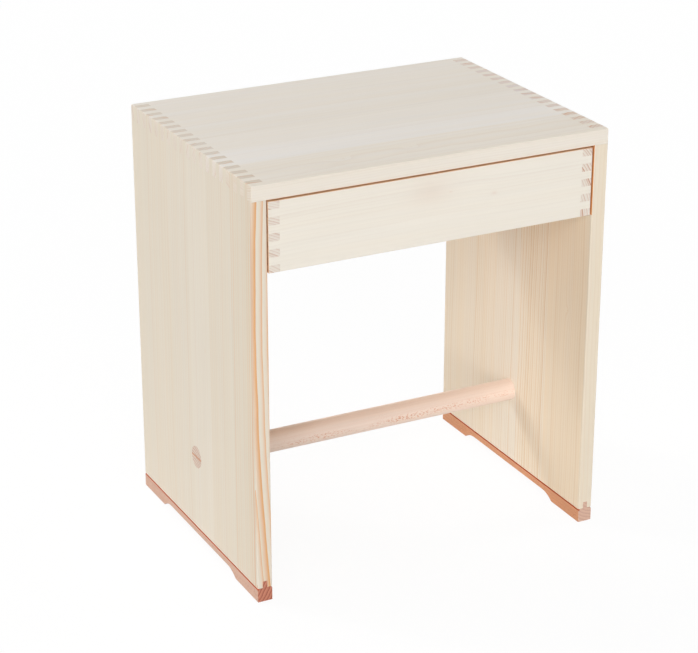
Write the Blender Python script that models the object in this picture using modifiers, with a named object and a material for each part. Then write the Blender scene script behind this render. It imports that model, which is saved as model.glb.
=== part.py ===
"""A wooden stool with a drawer under its seat, modelled piece by piece.

Metres, +Z up. X runs from left to right, the drawer opens towards -Y, and the
origin lies on the floor under the middle of the seat.
"""

import math

import bmesh
import bpy

# Overall size
STOOL_WIDTH = 0.395
STOOL_DEPTH = 0.296
STOOL_HEIGHT = 0.440

# Boards and their box joints
SEAT_THICKNESS = 0.016
PANEL_THICKNESS = 0.016
FINGER_WIDTH = 0.008
JOINT_GAP = 0.0003

# Foot rails
RAIL_HEIGHT = 0.015
RAIL_FLOOR_CHAMFER = 0.0015
RAIL_SHADOW_CHAMFER = 0.001
TONGUE_WIDTH = 0.005
TONGUE_HEIGHT = 0.0075
FOOT_LENGTH = 0.054
CUTOUT_DEPTH = 0.007
CUTOUT_RADIUS = 0.032

# Crossbar and the wedges in its ends
CROSSBAR_DIAMETER = 0.024
CROSSBAR_HEIGHT = 0.098
WEDGE_LENGTH = 0.013
WEDGE_HEAD = 0.0024
WEDGE_TIP = 0.0008

# Drawer
DRAWER_HEIGHT = 0.072
DRAWER_DEPTH = 0.284
DRAWER_BOARD = 0.012
DRAWER_SIDE_GAP = 0.0015
DRAWER_TOP_GAP = 0.002
DRAWER_RECESS = 0.0008
BOTTOM_THICKNESS = 0.004
BOTTOM_RAISE = 0.009
BOTTOM_TONGUE = 0.005

# Drawer runners, and the grooves that ride on them
RUNNER_HEIGHT = 0.012
RUNNER_SETBACK = 0.010
GROOVE_DEPTH = 0.006
GROOVE_LAND = 0.008
GROOVE_FACE_CLEARANCE = 0.0007
GROOVE_LOWER_CLEARANCE = 0.0007
GROOVE_STOP_CLEARANCE = 0.0005

# Countersunk screws in the runners
SCREWS_PER_RUNNER = 3
SCREW_DIAMETER = 0.0035
SCREW_HEAD_DIAMETER = 0.007
SCREW_LENGTH = 0.016
SCREW_TIP_LENGTH = 0.004
SCREW_SINK = 0.0004
SCREW_END_MARGIN = 0.025
SCREW_RECESS_LENGTH = 0.0036
SCREW_RECESS_WIDTH = 0.0009
SCREW_RECESS_DEPTH = 0.0012

# Facets of round pieces and arcs, and the crease above which an edge stays sharp
BAR_SIDES = 48
SCREW_SIDES = 24
ARC_STEPS = 8
CREASE = math.radians(30)

# How far a cutter runs past a face, and how near two points count as one
CUTTER_OVERRUN = 0.004
SAME_POINT = 0.000001

# Places that follow from the sizes above
HALF_WIDTH = STOOL_WIDTH / 2
HALF_DEPTH = STOOL_DEPTH / 2
SEAT_UNDERSIDE = STOOL_HEIGHT - SEAT_THICKNESS
PANEL_INNER = HALF_WIDTH - PANEL_THICKNESS
PANEL_CENTRE = HALF_WIDTH - PANEL_THICKNESS / 2
PANEL_BOTTOM = RAIL_HEIGHT + JOINT_GAP
DRAWER_TOP = SEAT_UNDERSIDE - DRAWER_TOP_GAP
DRAWER_MIDDLE = DRAWER_TOP - DRAWER_HEIGHT / 2
DRAWER_UNDERSIDE = DRAWER_TOP - DRAWER_HEIGHT
DRAWER_HALF_WIDTH = PANEL_INNER - DRAWER_SIDE_GAP
DRAWER_FRONT = -HALF_DEPTH + DRAWER_RECESS
DRAWER_BACK = DRAWER_FRONT + DRAWER_DEPTH
DRAWER_CENTRE = (DRAWER_FRONT + DRAWER_BACK) / 2
RUNNER_FACE = DRAWER_HALF_WIDTH - GROOVE_DEPTH + GROOVE_FACE_CLEARANCE
RUNNER_FRONT = DRAWER_FRONT + DRAWER_BOARD + GROOVE_LAND + GROOVE_STOP_CLEARANCE
RUNNER_BACK = DRAWER_BACK - RUNNER_SETBACK
SIDES = {"left": -1, "right": 1}

# Turns that stand a flat outline up, so that its own X and Y become the two axes named,
# and the turn that lays a round bar along X
QUARTER = math.radians(90)
TO_X_AND_Z = (QUARTER, 0, 0)
TO_Y_AND_Z = (QUARTER, 0, QUARTER)
TO_Z_AND_Y = (0, -QUARTER, 0)
ALONG_X = (0, QUARTER, 0)


def clear_scene():
    for thing in list(bpy.data.objects):
        bpy.data.objects.remove(thing, do_unlink=True)


def new_collection(name):
    collection = bpy.data.collections.new(name)
    bpy.context.scene.collection.children.link(collection)
    return collection


def wood(name, colour, roughness):
    return finish(name, colour, roughness, metallic=0.0)


def finish(name, colour, roughness, metallic):
    material = bpy.data.materials.new(name)
    material.use_nodes = True
    shader = material.node_tree.nodes["Principled BSDF"]
    shader.inputs["Base Color"].default_value = (*colour, 1)
    shader.inputs["Roughness"].default_value = roughness
    shader.inputs["Metallic"].default_value = metallic
    return material


def add_piece(name, mesh, location, material, rotation=(0, 0, 0), carrier=None):
    """One sub-part at its place in the stool, with its own material."""
    piece = bpy.data.objects.new(name, mesh)
    piece.rotation_euler = rotation
    piece.location = location
    if carrier:
        piece.parent = carrier
        piece.location = [place - origin for place, origin in zip(location, carrier.location)]
    if not mesh.materials:
        mesh.materials.append(material)
    PARTS.objects.link(piece)
    return piece


def add_cutter(name, mesh, location, rotation=(0, 0, 0)):
    cutter = bpy.data.objects.new(name, mesh)
    cutter.location = location
    cutter.rotation_euler = rotation
    cutter.hide_render = True
    cutter.display_type = "WIRE"
    CUTTERS.objects.link(cutter)
    return cutter


def boolean(piece, cutter, operation="DIFFERENCE"):
    modifier = piece.modifiers.new(cutter.name, "BOOLEAN")
    modifier.operation = operation
    modifier.solver = "EXACT"
    modifier.object = cutter


def mesh_of(source):
    """The mesh that an object gives once its curve or modifiers are worked out; the object goes."""
    bpy.context.view_layer.update()
    evaluated = source.evaluated_get(bpy.context.evaluated_depsgraph_get())
    mesh = bpy.data.meshes.new_from_object(evaluated)
    bpy.data.objects.remove(source, do_unlink=True)
    shape = bmesh.new()
    shape.from_mesh(mesh)
    bmesh.ops.remove_doubles(shape, verts=shape.verts, dist=SAME_POINT)
    shape.to_mesh(mesh)
    shape.free()
    return mesh


def outline_mesh(points, thickness):
    """A flat closed outline, filled and given a thickness about its own plane."""
    curve = bpy.data.curves.new("outline", "CURVE")
    curve.dimensions = "2D"
    curve.fill_mode = "BOTH"
    curve.extrude = thickness / 2
    spline = curve.splines.new("POLY")
    spline.points.add(len(points) - 1)
    for point, (across, along) in zip(spline.points, points):
        point.co = (across, along, 0, 1)
    spline.use_cyclic_u = True
    carrier = bpy.data.objects.new("outline", curve)
    CUTTERS.objects.link(carrier)
    mesh = mesh_of(carrier)
    shape = bmesh.new()
    shape.from_mesh(mesh)
    for level in (-thickness / 2, thickness / 2):
        flat = [face for face in shape.faces if on_level(face, level)]
        bmesh.ops.dissolve_faces(shape, faces=flat)
    shape.to_mesh(mesh)
    shape.free()
    return mesh


def on_level(face, level):
    return all(abs(vert.co.z - level) < SAME_POINT for vert in face.verts)


def block_mesh(size):
    shape = bmesh.new()
    bmesh.ops.create_cube(shape, size=1)
    bmesh.ops.scale(shape, vec=size, verts=shape.verts)
    mesh = bpy.data.meshes.new("block")
    shape.to_mesh(mesh)
    shape.free()
    return mesh


def bar_mesh(radius, length):
    shape = bmesh.new()
    bmesh.ops.create_cone(
        shape, cap_ends=True, segments=BAR_SIDES, radius1=radius, radius2=radius, depth=length
    )
    mesh = bpy.data.meshes.new("bar")
    shape.to_mesh(mesh)
    shape.free()
    smooth(mesh)
    return mesh


def turned_object(profile, sides):
    """A profile of (radius, height) points from top to bottom, turned about Z."""
    mesh = bpy.data.meshes.new("profile")
    points = [(radius, 0, height) for radius, height in profile]
    edges = [(index, index + 1) for index in range(len(points) - 1)]
    mesh.from_pydata(points, edges, [])
    turned = bpy.data.objects.new("turned", mesh)
    CUTTERS.objects.link(turned)
    screw = turned.modifiers.new("turn", "SCREW")
    screw.steps = sides
    screw.render_steps = sides
    screw.use_merge_vertices = True
    screw.merge_threshold = SAME_POINT
    return turned


def smooth(mesh):
    mesh.shade_smooth()
    mesh.set_sharp_from_angle(angle=CREASE)


def odd_count(length):
    """How many fingers share a joint of this length: odd, so that both ends match."""
    return max(3, 2 * round((length / FINGER_WIDTH - 1) / 2) + 1)


def comb_end(tip, root, across, even):
    """One toothed end of a board, as outline points from its lower edge to its upper one.

    Fingers lie at the even places, or at the odd ones, and the board that meets
    this one has the others. Half the joint gap comes off each side of a finger.
    """
    count = odd_count(across)
    pitch = across / count
    points = []
    for place in range(count):
        is_finger = (place % 2 == 0) == even
        trim = JOINT_GAP / 2 if is_finger else -JOINT_GAP / 2
        low = -across / 2 + place * pitch + (trim if place > 0 else 0)
        high = -across / 2 + (place + 1) * pitch - (trim if place < count - 1 else 0)
        reach = tip if is_finger else root
        points += [(reach, low), (reach, high)]
    return points


def double_comb(length, across, finger_length, thickness, even):
    """A board with fingers at both ends, centred on its own origin."""
    tip = length / 2
    root = tip - finger_length - JOINT_GAP
    end = comb_end(tip, root, across, even)
    far_end = [(-reach, place) for reach, place in reversed(end)]
    return outline_mesh(end + far_end, thickness)


def make_seat(material):
    mesh = double_comb(STOOL_WIDTH, STOOL_DEPTH, PANEL_THICKNESS, SEAT_THICKNESS, even=True)
    add_piece("seat_board", mesh, (0, 0, STOOL_HEIGHT - SEAT_THICKNESS / 2), material)


def make_side_panel(name, side, material):
    """An upright board with fingers at the top, a bar hole and a groove for the rail's tongue."""
    comb = comb_end(STOOL_HEIGHT, SEAT_UNDERSIDE - JOINT_GAP, STOOL_DEPTH, even=False)
    foot = [(PANEL_BOTTOM, HALF_DEPTH), (PANEL_BOTTOM, -HALF_DEPTH)]
    mesh = outline_mesh(comb + foot, PANEL_THICKNESS)
    centre = side * PANEL_CENTRE
    panel = add_piece(f"{name}_side_panel", mesh, (centre, 0, 0), material, TO_Z_AND_Y)
    hole = bar_mesh(CROSSBAR_DIAMETER / 2 + JOINT_GAP, PANEL_THICKNESS + 2 * CUTTER_OVERRUN)
    boolean(panel, add_cutter(f"{name}_bar_hole", hole, (centre, 0, CROSSBAR_HEIGHT), ALONG_X))
    groove_top = RAIL_HEIGHT + TONGUE_HEIGHT + JOINT_GAP
    groove_bottom = PANEL_BOTTOM - CUTTER_OVERRUN
    groove = block_mesh((
        TONGUE_WIDTH + 2 * JOINT_GAP,
        STOOL_DEPTH + 2 * CUTTER_OVERRUN,
        groove_top - groove_bottom,
    ))
    groove_place = (centre, 0, (groove_top + groove_bottom) / 2)
    boolean(panel, add_cutter(f"{name}_tongue_groove", groove, groove_place))
    return panel


def make_foot_rail(name, side, material):
    """A strip with a tongue on top, cut away below between its two feet."""
    half = PANEL_THICKNESS / 2
    tongue = TONGUE_WIDTH / 2
    right_half = [
        (half - RAIL_FLOOR_CHAMFER, 0),
        (half, RAIL_FLOOR_CHAMFER),
        (half, RAIL_HEIGHT - RAIL_SHADOW_CHAMFER),
        (half - RAIL_SHADOW_CHAMFER, RAIL_HEIGHT),
        (tongue, RAIL_HEIGHT),
        (tongue, RAIL_HEIGHT + TONGUE_HEIGHT),
    ]
    left_half = [(-across, height) for across, height in reversed(right_half)]
    mesh = outline_mesh(right_half + left_half, STOOL_DEPTH)
    place = (side * PANEL_CENTRE, 0, 0)
    rail = add_piece(f"{name}_foot_rail", mesh, place, material, TO_X_AND_Z)
    cutout = outline_mesh(cutout_points(), PANEL_THICKNESS + 2 * CUTTER_OVERRUN)
    boolean(rail, add_cutter(f"{name}_foot_cutout", cutout, place, TO_Y_AND_Z))


def cutout_points():
    """The cut-out's side view: flat on top, with an arc down to the floor at each end."""
    half = HALF_DEPTH - FOOT_LENGTH
    sweep = math.acos(1 - CUTOUT_DEPTH / CUTOUT_RADIUS)
    arc_start = half - CUTOUT_RADIUS * math.sin(sweep)
    arc = []
    for step in range(ARC_STEPS + 1):
        angle = sweep * step / ARC_STEPS
        along = arc_start + CUTOUT_RADIUS * math.sin(angle)
        arc.append((along, CUTOUT_DEPTH - CUTOUT_RADIUS * (1 - math.cos(angle))))
    arc.append((half, -CUTTER_OVERRUN))
    far_arc = [(-along, height) for along, height in arc]
    return list(reversed(arc)) + far_arc


def make_crossbar(bar_material, wedge_material):
    """The round bar through both panels, and the wedge that spreads each of its ends."""
    place = (0, 0, CROSSBAR_HEIGHT)
    radius = CROSSBAR_DIAMETER / 2
    bar = add_piece("crossbar", bar_mesh(radius, STOOL_WIDTH), place, bar_material, ALONG_X)
    across = CROSSBAR_DIAMETER + 2 * CUTTER_OVERRUN
    for name, side in SIDES.items():
        end = (side * HALF_WIDTH, 0, CROSSBAR_HEIGHT)
        kerf = outline_mesh(wedge_points(side, JOINT_GAP, CUTTER_OVERRUN), across)
        boolean(bar, add_cutter(f"{name}_kerf", kerf, end, TO_X_AND_Z))
        mesh = outline_mesh(wedge_points(side, 0, 0), across)
        wedge = add_piece(f"{name}_tenon_wedge", mesh, end, wedge_material, TO_X_AND_Z)
        round_end = bar_mesh(radius, 2 * PANEL_THICKNESS)
        boolean(wedge, add_cutter(f"{name}_wedge_round", round_end, end, ALONG_X), "INTERSECT")


def wedge_points(side, gap, overrun):
    """The wedge's side view from the bar's end inwards, grown by a gap for its kerf."""
    head = WEDGE_HEAD / 2 + gap
    tip = WEDGE_TIP / 2 + gap
    inner = -side * (WEDGE_LENGTH + gap)
    outer = side * overrun
    return [(outer, -head), (outer, head), (inner, tip), (inner, -tip)]


def screw_profile(gap, overrun):
    """A countersunk screw from the top of its head to its tip, grown by a gap for its hole."""
    shank = SCREW_DIAMETER / 2 + gap
    head = SCREW_HEAD_DIAMETER / 2 + gap
    cone_end = -(SCREW_HEAD_DIAMETER - SCREW_DIAMETER) / 2
    profile = [(0, overrun), (head, overrun)]
    if overrun:
        profile.append((head, 0))
    return profile + [
        (shank, cone_end),
        (shank, SCREW_TIP_LENGTH - SCREW_LENGTH),
        (0, -SCREW_LENGTH - gap),
    ]


def screw_mesh():
    """One screw with a cross recess in its head, head up."""
    screw = turned_object(screw_profile(gap=0, overrun=0), SCREW_SIDES)
    recesses = []
    for turn in (0, QUARTER):
        slot = block_mesh((SCREW_RECESS_LENGTH, SCREW_RECESS_WIDTH, 2 * SCREW_RECESS_DEPTH))
        recesses.append(add_cutter("screw_recess", slot, (0, 0, 0), (0, 0, turn)))
        boolean(screw, recesses[-1])
    mesh = mesh_of(screw)
    for recess in recesses:
        bpy.data.objects.remove(recess, do_unlink=True)
    smooth(mesh)
    return mesh


def make_runner(name, side, panel, runner_material, screw, screw_material):
    """A strip along the panel, with screws through it into the panel."""
    outer = PANEL_INNER - JOINT_GAP
    length = RUNNER_BACK - RUNNER_FRONT
    mesh = block_mesh((outer - RUNNER_FACE, length, RUNNER_HEIGHT))
    middle = (RUNNER_FRONT + RUNNER_BACK) / 2
    place = (side * (outer + RUNNER_FACE) / 2, middle, DRAWER_MIDDLE)
    runner = add_piece(f"{name}_drawer_runner", mesh, place, runner_material)
    head_inwards = (0, -side * QUARTER, 0)
    head_place = side * (RUNNER_FACE + SCREW_SINK)
    first = RUNNER_FRONT + SCREW_END_MARGIN
    step = (length - 2 * SCREW_END_MARGIN) / (SCREWS_PER_RUNNER - 1)
    for number in range(SCREWS_PER_RUNNER):
        seat = (head_place, first + number * step, DRAWER_MIDDLE)
        label = f"{name}_runner_screw_{number + 1}"
        hole = mesh_of(turned_object(screw_profile(JOINT_GAP, CUTTER_OVERRUN), SCREW_SIDES))
        cutter = add_cutter(f"{label}_hole", hole, seat, head_inwards)
        boolean(runner, cutter)
        boolean(panel, cutter)
        add_piece(label, screw, seat, screw_material, head_inwards)


def make_drawer(board_material, bottom_material):
    """A box with finger joints at its corners, a grooved-in bottom and a runner groove each side."""
    slide = bpy.data.objects.new("drawer_slide", None)
    slide.location = (0, DRAWER_FRONT, DRAWER_MIDDLE)
    PARTS.objects.link(slide)
    width = 2 * DRAWER_HALF_WIDTH
    bottom_size = (
        width - 2 * (DRAWER_BOARD - BOTTOM_TONGUE),
        DRAWER_DEPTH - 2 * (DRAWER_BOARD - BOTTOM_TONGUE),
        BOTTOM_THICKNESS,
    )
    bottom_place = (0, DRAWER_CENTRE, DRAWER_UNDERSIDE + BOTTOM_RAISE + BOTTOM_THICKNESS / 2)
    slot = block_mesh([size + 2 * JOINT_GAP for size in bottom_size])
    bottom_slot = add_cutter("drawer_bottom_slot", slot, bottom_place)
    bottom = block_mesh(bottom_size)
    add_piece("drawer_bottom", bottom, bottom_place, bottom_material, carrier=slide)
    grooves = [runner_groove(name, side) for name, side in SIDES.items()]

    inset = DRAWER_BOARD / 2
    for name, along in (("drawer_front", DRAWER_FRONT + inset), ("drawer_back", DRAWER_BACK - inset)):
        mesh = double_comb(width, DRAWER_HEIGHT, DRAWER_BOARD, DRAWER_BOARD, even=False)
        place = (0, along, DRAWER_MIDDLE)
        board = add_piece(name, mesh, place, board_material, TO_X_AND_Z, slide)
        for cutter in (bottom_slot, *grooves):
            boolean(board, cutter)
    for (name, side), groove in zip(SIDES.items(), grooves):
        mesh = double_comb(DRAWER_DEPTH, DRAWER_HEIGHT, DRAWER_BOARD, DRAWER_BOARD, even=True)
        place = (side * (DRAWER_HALF_WIDTH - inset), DRAWER_CENTRE, DRAWER_MIDDLE)
        board = add_piece(f"drawer_{name}_side", mesh, place, board_material, TO_Y_AND_Z, slide)
        boolean(board, bottom_slot)
        boolean(board, groove)


def runner_groove(name, side):
    """The groove that rides on a runner: open at the drawer's back, closed behind its front."""
    front = RUNNER_FRONT - GROOVE_STOP_CLEARANCE
    back = DRAWER_BACK + CUTTER_OVERRUN
    floor = DRAWER_HALF_WIDTH - GROOVE_DEPTH
    outside = DRAWER_HALF_WIDTH + CUTTER_OVERRUN
    top = DRAWER_MIDDLE + RUNNER_HEIGHT / 2 + JOINT_GAP
    bottom = DRAWER_MIDDLE - RUNNER_HEIGHT / 2 - GROOVE_LOWER_CLEARANCE
    mesh = block_mesh((outside - floor, back - front, top - bottom))
    place = (side * (outside + floor) / 2, (front + back) / 2, (top + bottom) / 2)
    return add_cutter(f"{name}_runner_groove", mesh, place)


clear_scene()
PARTS = new_collection("stool_with_drawer")
CUTTERS = new_collection("cutters")

spruce = wood("spruce", (0.82, 0.75, 0.62), 0.6)
drawer_spruce = wood("drawer_spruce", (0.84, 0.78, 0.67), 0.6)
rail_beech = wood("rail_beech", (0.60, 0.34, 0.21), 0.5)
bar_beech = wood("bar_beech", (0.76, 0.58, 0.46), 0.5)
wedge_beech = wood("wedge_beech", (0.50, 0.29, 0.18), 0.5)
plywood = wood("plywood", (0.74, 0.62, 0.45), 0.6)
zinc = finish("zinc", (0.62, 0.62, 0.60), 0.35, metallic=1.0)

make_seat(spruce)
shared_screw = screw_mesh()
for side_name, side_sign in SIDES.items():
    side_panel = make_side_panel(side_name, side_sign, spruce)
    make_foot_rail(side_name, side_sign, rail_beech)
    make_runner(side_name, side_sign, side_panel, rail_beech, shared_screw, zinc)
make_crossbar(bar_beech, wedge_beech)
make_drawer(drawer_spruce, plywood)
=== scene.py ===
import math
from collections import namedtuple
from functools import partial

import bmesh
import bpy
from mathutils import Matrix, Vector


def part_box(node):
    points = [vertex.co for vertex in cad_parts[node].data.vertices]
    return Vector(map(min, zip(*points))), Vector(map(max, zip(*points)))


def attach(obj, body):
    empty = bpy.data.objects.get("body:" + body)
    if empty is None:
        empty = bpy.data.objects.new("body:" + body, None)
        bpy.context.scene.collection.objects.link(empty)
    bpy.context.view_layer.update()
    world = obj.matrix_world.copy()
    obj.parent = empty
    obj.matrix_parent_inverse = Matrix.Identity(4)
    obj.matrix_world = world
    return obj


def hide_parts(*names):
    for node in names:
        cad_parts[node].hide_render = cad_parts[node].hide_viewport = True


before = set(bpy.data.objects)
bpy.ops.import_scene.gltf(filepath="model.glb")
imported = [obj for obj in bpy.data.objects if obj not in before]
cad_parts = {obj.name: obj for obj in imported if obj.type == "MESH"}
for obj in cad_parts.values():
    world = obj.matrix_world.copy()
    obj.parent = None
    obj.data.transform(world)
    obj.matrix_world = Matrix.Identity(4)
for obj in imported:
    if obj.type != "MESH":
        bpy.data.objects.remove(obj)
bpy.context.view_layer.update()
bpy.context.scene.view_settings.view_transform = "Standard"

# Side panels
# Two upright boards of solid spruce, each glued up from staves with the grain running up.
# The top end is sawn into fingers that lock into the seat, a bored hole takes the crossbar,
# and a groove in the bottom end takes the tongue of the foot rail.
SEAT_FINGERS = 37           # finger places along each joint between seat and panel
SAW_GAP = 0.00004           # play between two fingers
SANDED_ARRIS = 0.0013       # round along the edges that a hand meets
SHARP_ARRIS = 0.0005        # round along the edges that are only broken with paper
ARRIS_STEPS = 3
ROD_SIDES = 96
CREASE = math.radians(40)   # above this angle an edge stays sharp
SAME_PLACE = 0.00001        # within this distance two places count as one
OVERRUN = 0.01              # how far a cutting tool runs past what it cuts
SIDE_GRAIN = 0.35           # cosine of a face's normal with the grain, up to which it is side grain
END_GRAIN = 0.85            # and from which it is end grain
BAR_PLAY = 0.00005          # play round the crossbar in its hole
TONGUE_WIDTH = 0.005
TONGUE_TOP = 0.0225
UP = Vector((0, 0, 1))
RIGHTWARDS = Vector((1, 0, 0))
BACKWARDS = Vector((0, 1, 0))

# A stave reaches to edge. Its heart is the middle of the tree it was sawn from, seen in the
# board's end. Its figure says how strongly the summer growth shows, and its bend how much the
# trunk curved through the board. The first stave of a panel is its thin planed front edge.
Stave = namedtuple("Stave", "edge heart_across heart_deep ring figure tone warmth bend", defaults=(0,))
# A knot lies at a place along and across its board, and the rings swerve round it.
Knot = namedtuple("Knot", "along across radius dark")
LEFT_PANEL_STAVES = (
    Stave(-0.1455, -0.1480, -0.2413, 0.0068, 1.10, 1.01, 0.35, 0.15),
    Stave(-0.098, -0.2100, -0.2100, 0.0050, 1.00, 0.97, 0.80),
    Stave(-0.042, -0.1650, -0.1500, 0.0040, 0.18, 0.985, 0.60),
    Stave(0.006, 0.0700, -0.2400, 0.0034, 0.16, 1.005, 0.35),
    Stave(0.057, -0.0600, -0.2600, 0.0038, 0.20, 0.99, 0.45),
    Stave(1.0, 0.0200, -0.2900, 0.0034, 0.16, 0.99, 0.60),
)
RIGHT_PANEL_STAVES = (
    Stave(-0.1455, -0.2000, 0.2400, 0.0034, 0.45, 0.98, 0.55),
    Stave(-0.072, -0.2000, 0.2400, 0.0034, 0.45, 1.022, 0.85),
    Stave(-0.015, 0.0300, 0.2500, 0.0031, 1.10, 1.030, 0.45),
    Stave(0.035, -0.0900, 0.1600, 0.0036, 0.55, 1.018, 0.20),
    Stave(0.097, 0.1500, 0.2300, 0.0034, 0.55, 1.03, 0.40),
    Stave(1.0, 0.0500, 0.1200, 0.0040, 0.35, 1.035, 0.55),
)
BEND_CREST = 0.29           # height at which a bent stave's trunk curved furthest
YEARS_IN_RUN = 5            # years of strong or weak growth that follow one another
POOR_YEAR = 7               # how steeply a poor year darkens towards its end
GOOD_YEAR = 0.5             # and a good one
FAINTEST_YEAR = 0.5         # how dark the poorest year's summer growth is, beside the best
FAINTEST_RUN = 0.12         # and that of the poorest run of years
FAINTEST_END = 0.8          # and that of any run where it is sawn across
WANDER = 0.014              # how far the heart strays across the board
RIPPLE = 0.0016             # how far the rings ripple through the board
GROWTH_WAVES = 130          # waves in the width of the rings, per metre from the heart outwards
GROWTH_REACH = 0.002        # how far they carry a ring
KNOT_STRETCH = 0.55         # how much a step along the grain counts beside one across it
KNOT_SWERVE = 2.4           # rings by which the grain swerves at a dark knot
KNOT_FADE = 0.05            # how fast that swerve dies away
FIBRE_TONE = 0.07           # how much the fibres change the tone
CLOUD_TONE = 0.05           # and the broad clouds
SUMMER_TONE = 0.025         # and how much the summer growth lowers it
STREAK_WARMTH = 0.7         # how much the streaks change the warmth
SPRUCE_ROUGHNESS = 0.6
FIBRE_ROUGHNESS = 0.22      # how much the fibres change it
SUMMER_ROUGHNESS = 0.12     # and how much the summer growth lowers it
FIBRE_RELIEF = 0.6          # how much of the relief comes from the fibres
SUMMER_RELIEF = 0.4         # and from the summer growth

# Waves in a metre along the grain, across it and through the board
SPRUCE_WANDER = (4, 3, 3)
SPRUCE_RIPPLE = (26, 45, 45)
SPRUCE_FIBRE = (9, 520, 520)
SPRUCE_CLOUD = (6, 22, 22)
SPRUCE_STREAK = (2, 80, 80)

PANEL_TINTS = {
    "left": {
        "pale": (232, 224, 210), "warm": (232, 219, 198), "summer": (230, 158, 82),
        "end_tint": (246, 246, 249),
    },
    "right": {
        "pale": (240, 232, 218), "warm": (240, 223, 197), "summer": (216, 172, 106),
        "end_tint": (240, 241, 252), "end_summer": (222, 156, 94),
    },
}
PANEL_KNOTS = {
    "left": (Knot(0.229, -0.030, 0.0015, 0.12),), "right": (Knot(0.232, -0.111, 0.0007, 0.50),),
}
PANEL_END_FIGURES = {"left": 0.6, "right": 1.2}
PANEL_LEANS = {"left": (0.004, 0), "right": (0.006, 0.004)}
GAP_SHADE_TINT = (242, 166, 92)   # painted shade: a warm brown laid over the wood in the narrow gap round the drawer
GAP_REACH = 0.009           # depth behind the drawer's front at which that painted shade has faded
GAP_MARGIN = 0.0003         # how far past the faces of the gap it is laid


class Wire:
    """One socket of a node tree. A sum written with it adds the Math nodes that it needs."""

    def __init__(self, tree, socket=None):
        self.tree = tree
        self.socket = socket

    def node(self, kind, settings=None, sockets=None, output=0):
        """Adds one node: its settings first, then the values or links of its sockets."""
        made = self.tree.nodes.new(kind)
        for setting, value in (settings or {}).items():
            setattr(made, setting, value)
        for name, value in (sockets or {}).items():
            for one in value if isinstance(value, list) else [value]:
                if isinstance(one, Wire):
                    self.tree.links.new(one.socket, made.inputs[name])
                else:
                    made.inputs[name].default_value = one
        return Wire(self.tree, made.outputs[output]) if made.outputs else None

    def math(self, operation, *values):
        return self.node("ShaderNodeMath", {"operation": operation}, dict(enumerate(values)))

    def clamp(self, value):
        return self.node("ShaderNodeClamp", sockets={"Value": value})

    def vector(self, x, y, z):
        return self.node("ShaderNodeCombineXYZ", sockets={"X": x, "Y": y, "Z": z})

    def mix(self, share, first, second, blend="MIX"):
        """Colour: the first where share is 0, the second laid over it where share is 1."""
        settings = {"data_type": "RGBA", "blend_type": blend}
        return self.node("ShaderNodeMix", settings, {0: share, 6: first, 7: second}, output=2)

    def scaled(self, factor):
        sockets = {"Vector": self, "Scale": factor}
        return self.node("ShaderNodeVectorMath", {"operation": "SCALE"}, sockets)

    def __add__(self, other):
        return self.math("ADD", self, other)

    def __radd__(self, other):
        return self.math("ADD", other, self)

    def __sub__(self, other):
        return self.math("SUBTRACT", self, other)

    def __rsub__(self, other):
        return self.math("SUBTRACT", other, self)

    def __mul__(self, other):
        return self.math("MULTIPLY", self, other)

    def __rmul__(self, other):
        return self.math("MULTIPLY", other, self)

    def __truediv__(self, other):
        return self.math("DIVIDE", self, other)

    def __rtruediv__(self, other):
        return self.math("DIVIDE", other, self)

    def __pow__(self, other):
        return self.math("POWER", self, other)

    def __gt__(self, other):
        return self.math("GREATER_THAN", self, other)


def tint(red, green, blue):
    """A colour as a colour picker shows it, from 0 to 255, in the linear form that a socket takes."""
    shares = [value / 255 for value in (red, green, blue)]
    linear = [s / 12.92 if s <= 0.04045 else ((s + 0.055) / 1.055) ** 2.4 for s in shares]
    return (*linear, 1)


def new_tree(name, inputs, output):
    """An empty Geometry Nodes tree with named inputs, and what reads one of them by its name."""
    tree = bpy.data.node_groups.new(name, "GeometryNodeTree")
    tree.is_modifier = True
    for label, kind in inputs.items():
        tree.interface.new_socket(label, in_out="INPUT", socket_type=f"NodeSocket{kind}")
    tree.interface.new_socket(output, in_out="OUTPUT", socket_type="NodeSocketGeometry")
    plan = Wire(tree)

    def given(label):
        return plan.node("NodeGroupInput", output=label)

    return plan, given


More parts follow.
